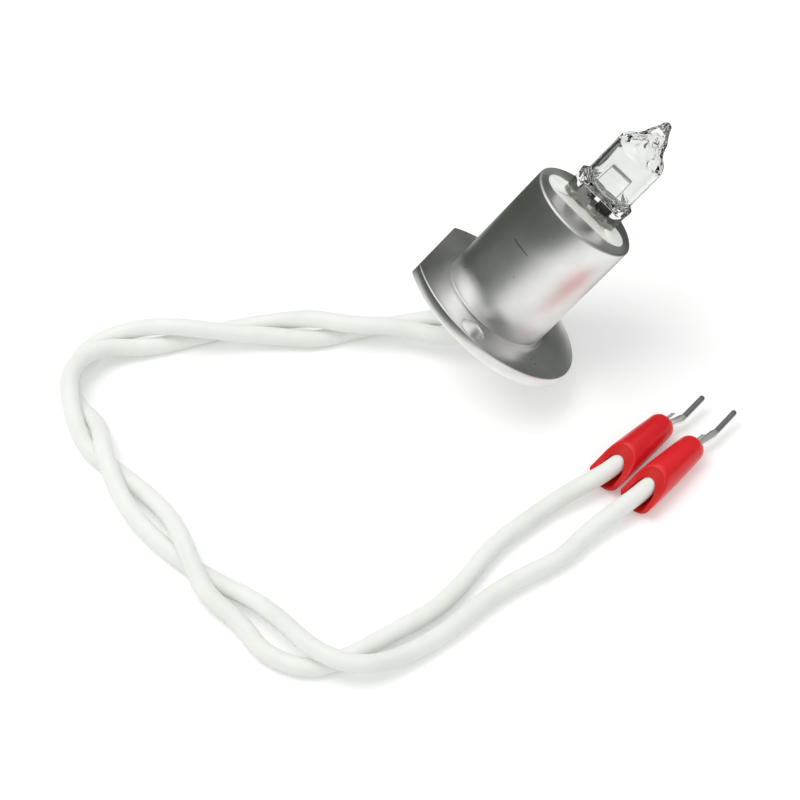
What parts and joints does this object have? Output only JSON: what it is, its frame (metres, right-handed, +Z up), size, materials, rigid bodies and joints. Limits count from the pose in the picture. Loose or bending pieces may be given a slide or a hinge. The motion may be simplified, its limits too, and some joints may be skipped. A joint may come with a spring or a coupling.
{
  "type": "analyzer halogen lamp",
  "caption": "Halogen lamp for an analyzer: a quartz capsule cemented into a metal tube with a keyed flange, and twisted white leads that end in red insulated blade terminals.",
  "frame": {"origin": "on the table, under the middle of the lamp head's box (flange, tube and capsule, without the leads)", "axes": "+Z up; the lamp lies on its flange's rim with its axis in the XZ plane, leaning from +Z towards +X; the leads run off towards -X and come round to -Y"},
  "size_m": [0.1109, 0.0829, 0.0471],
  "materials": {
    "satin_metal": "satin, turned",
    "ceramic": "matt",
    "cement": "rough, matt",
    "quartz": "clear, polished",
    "tungsten": "dull",
    "molybdenum": "satin",
    "nickel": "satin",
    "tinned_copper": "satin, tinned",
    "white_silicone": "satin, soft",
    "red_plastic": "glossy"
  },
  "bodies": {
    "root": {"lamp_holder": "satin_metal", "ceramic_block": "ceramic", "cement_fillet": "cement", "quartz_capsule": "quartz", "filament_coil": "tungsten", "rear_plug": "cement", "filament_leg_a": "tungsten", "seal_foil_a": "molybdenum", "contact_pin_a": "molybdenum", "splice_ferrule_a": "nickel", "lead_core_a": "tinned_copper", "lead_wire_a": "white_silicone", "terminal_sleeve_a": "red_plastic", "terminal_blade_a": "tinned_copper", "conductor_end_a": "tinned_copper", "filament_leg_b": "tungsten", "seal_foil_b": "molybdenum", "contact_pin_b": "molybdenum", "splice_ferrule_b": "nickel", "lead_core_b": "tinned_copper", "lead_wire_b": "white_silicone", "terminal_sleeve_b": "red_plastic", "terminal_blade_b": "tinned_copper", "conductor_end_b": "tinned_copper"}
  },
  "joints": []
}
